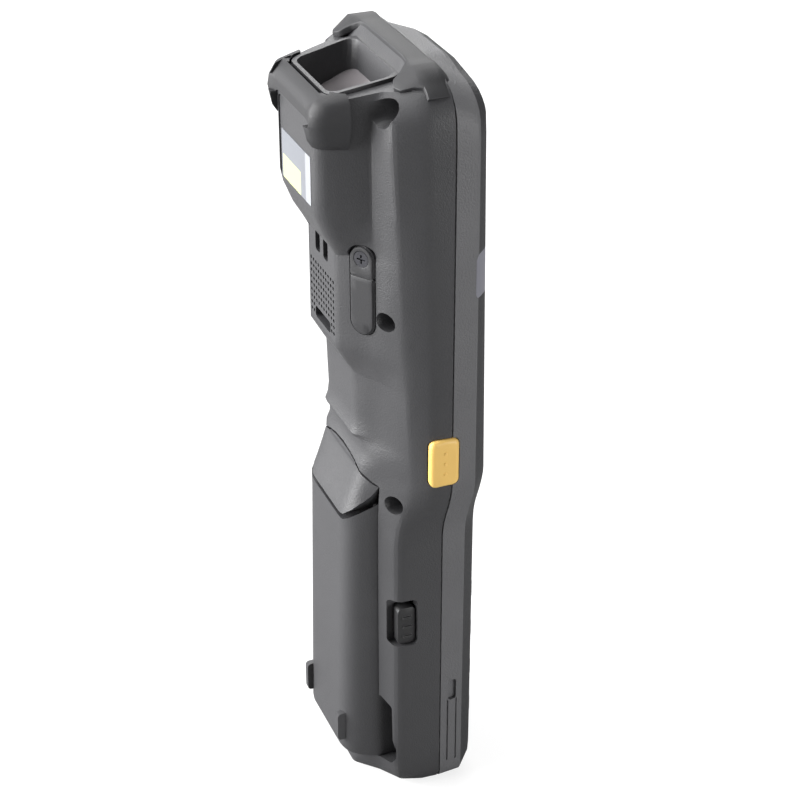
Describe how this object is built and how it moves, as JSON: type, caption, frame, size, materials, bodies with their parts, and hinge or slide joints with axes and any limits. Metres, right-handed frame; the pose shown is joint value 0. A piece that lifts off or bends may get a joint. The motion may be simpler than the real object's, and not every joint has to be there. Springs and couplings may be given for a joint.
{
  "type": "portable barcode data terminal",
  "caption": "Handheld data terminal with a scan head on its back, display, keypad, side scan keys, latched battery pack and a hinged port cover.",
  "frame": {"origin": "centre of the bounding box at the flat lower end", "axes": "+Z along the terminal's length to the scan end, +Y out of its back, -Y is the display side, +X to the right as seen from the display side"},
  "size_m": [0.0696, 0.0476, 0.2342],
  "materials": {
    "case_plastic": "fine satin grain",
    "rubber": "soft matt",
    "key_grey": "smooth matt",
    "key_yellow": "satin",
    "black_glass": "gloss",
    "window_glass": "gloss, deep red",
    "light_pipe": "frosted",
    "steel": "plated",
    "black_plastic": "matt",
    "board": "solder mask",
    "contacts": "bare",
    "label": "silver foil, blank"
  },
  "bodies": {
    "terminal": {"front_case": "case_plastic", "rear_case": "case_plastic", "front_bumper": "rubber", "rear_bumper": "rubber", "case_gasket": "rubber", "display_glass": "black_glass", "display_module": "black_plastic", "keypad_mat": "rubber", "main_board": "board", "speaker_grille": "case_plastic", "speaker": "black_plastic", "scan_window": "window_glass", "window_gasket": "rubber", "scan_engine": "black_plastic", "engine_bracket": "steel", "blank_label": "label", "port_cover_tab": "rubber", "port_cover_screw": "steel", "headset_jack": "black_plastic", "status_light_left": "light_pipe", "status_light_right": "light_pipe", "battery_contacts": "contacts", "latch_pin": "steel", "case_screws": "steel", "dock_connector": "black_plastic", "strap_pin": "steel"},
    "port_flap": {"port_cover_flap": "rubber"},
    "scan_key_l": {"scan_key_left": "key_yellow"},
    "scan_key_r": {"scan_key_right": "key_yellow"},
    "battery": {"battery_pack": "case_plastic"},
    "latch": {"battery_latch": "case_plastic"},
    "lock": {"battery_lock": "black_plastic"},
    "nav_key_body": {"nav_key": "key_grey"},
    "center_key_body": {"center_key": "key_yellow"},
    "soft_key_1_body": {"soft_key_1": "key_grey"},
    "soft_key_2_body": {"soft_key_2": "key_grey"},
    "soft_key_3_body": {"soft_key_3": "key_grey"},
    "soft_key_4_body": {"soft_key_4": "key_grey"},
    "key_1_body": {"key_1": "key_grey"},
    "key_2_body": {"key_2": "key_grey"},
    "key_3_body": {"key_3": "key_grey"},
    "key_4_body": {"key_4": "key_grey"},
    "key_5_body": {"key_5": "key_grey"},
    "key_6_body": {"key_6": "key_grey"},
    "key_7_body": {"key_7": "key_grey"},
    "key_8_body": {"key_8": "key_grey"},
    "key_9_body": {"key_9": "key_grey"},
    "key_10_body": {"key_10": "key_grey"},
    "key_11_body": {"key_11": "key_grey"},
    "key_12_body": {"key_12": "key_grey"},
    "key_13_body": {"key_13": "key_grey"},
    "key_14_body": {"key_14": "key_grey"},
    "key_15_body": {"key_15": "key_grey"},
    "key_16_body": {"key_16": "key_grey"}
  },
  "joints": [
    {"name": "battery_pull", "type": "slide", "parent": "terminal", "child": "battery", "axis": [0, 1, 0], "range_m": [0, 0.032]},
    {"name": "battery_latch_hinge", "type": "hinge", "parent": "terminal", "child": "latch", "pos_m": [0, 0.0086, 0.1107], "axis": [1, 0, 0], "range_deg": [0, 12], "stiffness_Nm_per_rad": 0.05, "springref_deg": -11.46},
    {"name": "battery_lock_slide", "type": "slide", "parent": "terminal", "child": "lock", "axis": [0, 0, 1], "range_m": [0, 0.003]},
    {"name": "port_flap_hinge", "type": "hinge", "parent": "terminal", "child": "port_flap", "pos_m": [-0.01844, 0.01004, 0.1747], "axis": [0.829, 0.5592, 0], "range_deg": [0, 80], "stiffness_Nm_per_rad": 0.0012, "springref_deg": -5.73},
    {"name": "scan_key_left_press", "type": "slide", "parent": "terminal", "child": "scan_key_l", "axis": [1, 0, 0], "range_m": [0, 0.001], "stiffness_N_per_m": 500, "springref_m": -0.0003},
    {"name": "scan_key_right_press", "type": "slide", "parent": "terminal", "child": "scan_key_r", "axis": [-1, 0, 0], "range_m": [0, 0.001], "stiffness_N_per_m": 500, "springref_m": -0.0003},
    {"name": "nav_key_press", "type": "slide", "parent": "terminal", "child": "nav_key_body", "axis": [0, 1, 0], "range_m": [0, 0.0008], "stiffness_N_per_m": 300, "springref_m": -0.0003},
    {"name": "center_key_press", "type": "slide", "parent": "terminal", "child": "center_key_body", "axis": [0, 1, 0], "range_m": [0, 0.0008], "stiffness_N_per_m": 300, "springref_m": -0.0003},
    {"name": "soft_key_1_press", "type": "slide", "parent": "terminal", "child": "soft_key_1_body", "axis": [0, 1, 0], "range_m": [0, 0.0008], "stiffness_N_per_m": 300, "springref_m": -0.0003},
    {"name": "soft_key_2_press", "type": "slide", "parent": "terminal", "child": "soft_key_2_body", "axis": [0, 1, 0], "range_m": [0, 0.0008], "stiffness_N_per_m": 300, "springref_m": -0.0003},
    {"name": "soft_key_3_press", "type": "slide", "parent": "terminal", "child": "soft_key_3_body", "axis": [0, 1, 0], "range_m": [0, 0.0008], "stiffness_N_per_m": 300, "springref_m": -0.0003},
    {"name": "soft_key_4_press", "type": "slide", "parent": "terminal", "child": "soft_key_4_body", "axis": [0, 1, 0], "range_m": [0, 0.0008], "stiffness_N_per_m": 300, "springref_m": -0.0003},
    {"name": "key_1_press", "type": "slide", "parent": "terminal", "child": "key_1_body", "axis": [0, 1, 0], "range_m": [0, 0.0008], "stiffness_N_per_m": 300, "springref_m": -0.0003},
    {"name": "key_2_press", "type": "slide", "parent": "terminal", "child": "key_2_body", "axis": [0, 1, 0], "range_m": [0, 0.0008], "stiffness_N_per_m": 300, "springref_m": -0.0003},
    {"name": "key_3_press", "type": "slide", "parent": "terminal", "child": "key_3_body", "axis": [0, 1, 0], "range_m": [0, 0.0008], "stiffness_N_per_m": 300, "springref_m": -0.0003},
    {"name": "key_4_press", "type": "slide", "parent": "terminal", "child": "key_4_body", "axis": [0, 1, 0], "range_m": [0, 0.0008], "stiffness_N_per_m": 300, "springref_m": -0.0003},
    {"name": "key_5_press", "type": "slide", "parent": "terminal", "child": "key_5_body", "axis": [0, 1, 0], "range_m": [0, 0.0008], "stiffness_N_per_m": 300, "springref_m": -0.0003},
    {"name": "key_6_press", "type": "slide", "parent": "terminal", "child": "key_6_body", "axis": [0, 1, 0], "range_m": [0, 0.0008], "stiffness_N_per_m": 300, "springref_m": -0.0003},
    {"name": "key_7_press", "type": "slide", "parent": "terminal", "child": "key_7_body", "axis": [0, 1, 0], "range_m": [0, 0.0008], "stiffness_N_per_m": 300, "springref_m": -0.0003},
    {"name": "key_8_press", "type": "slide", "parent": "terminal", "child": "key_8_body", "axis": [0, 1, 0], "range_m": [0, 0.0008], "stiffness_N_per_m": 300, "springref_m": -0.0003},
    {"name": "key_9_press", "type": "slide", "parent": "terminal", "child": "key_9_body", "axis": [0, 1, 0], "range_m": [0, 0.0008], "stiffness_N_per_m": 300, "springref_m": -0.0003},
    {"name": "key_10_press", "type": "slide", "parent": "terminal", "child": "key_10_body", "axis": [0, 1, 0], "range_m": [0, 0.0008], "stiffness_N_per_m": 300, "springref_m": -0.0003},
    {"name": "key_11_press", "type": "slide", "parent": "terminal", "child": "key_11_body", "axis": [0, 1, 0], "range_m": [0, 0.0008], "stiffness_N_per_m": 300, "springref_m": -0.0003},
    {"name": "key_12_press", "type": "slide", "parent": "terminal", "child": "key_12_body", "axis": [0, 1, 0], "range_m": [0, 0.0008], "stiffness_N_per_m": 300, "springref_m": -0.0003},
    {"name": "key_13_press", "type": "slide", "parent": "terminal", "child": "key_13_body", "axis": [0, 1, 0], "range_m": [0, 0.0008], "stiffness_N_per_m": 300, "springref_m": -0.0003},
    {"name": "key_14_press", "type": "slide", "parent": "terminal", "child": "key_14_body", "axis": [0, 1, 0], "range_m": [0, 0.0008], "stiffness_N_per_m": 300, "springref_m": -0.0003},
    {"name": "key_15_press", "type": "slide", "parent": "terminal", "child": "key_15_body", "axis": [0, 1, 0], "range_m": [0, 0.0008], "stiffness_N_per_m": 300, "springref_m": -0.0003},
    {"name": "key_16_press", "type": "slide", "parent": "terminal", "child": "key_16_body", "axis": [0, 1, 0], "range_m": [0, 0.0008], "stiffness_N_per_m": 300, "springref_m": -0.0003}
  ]
}
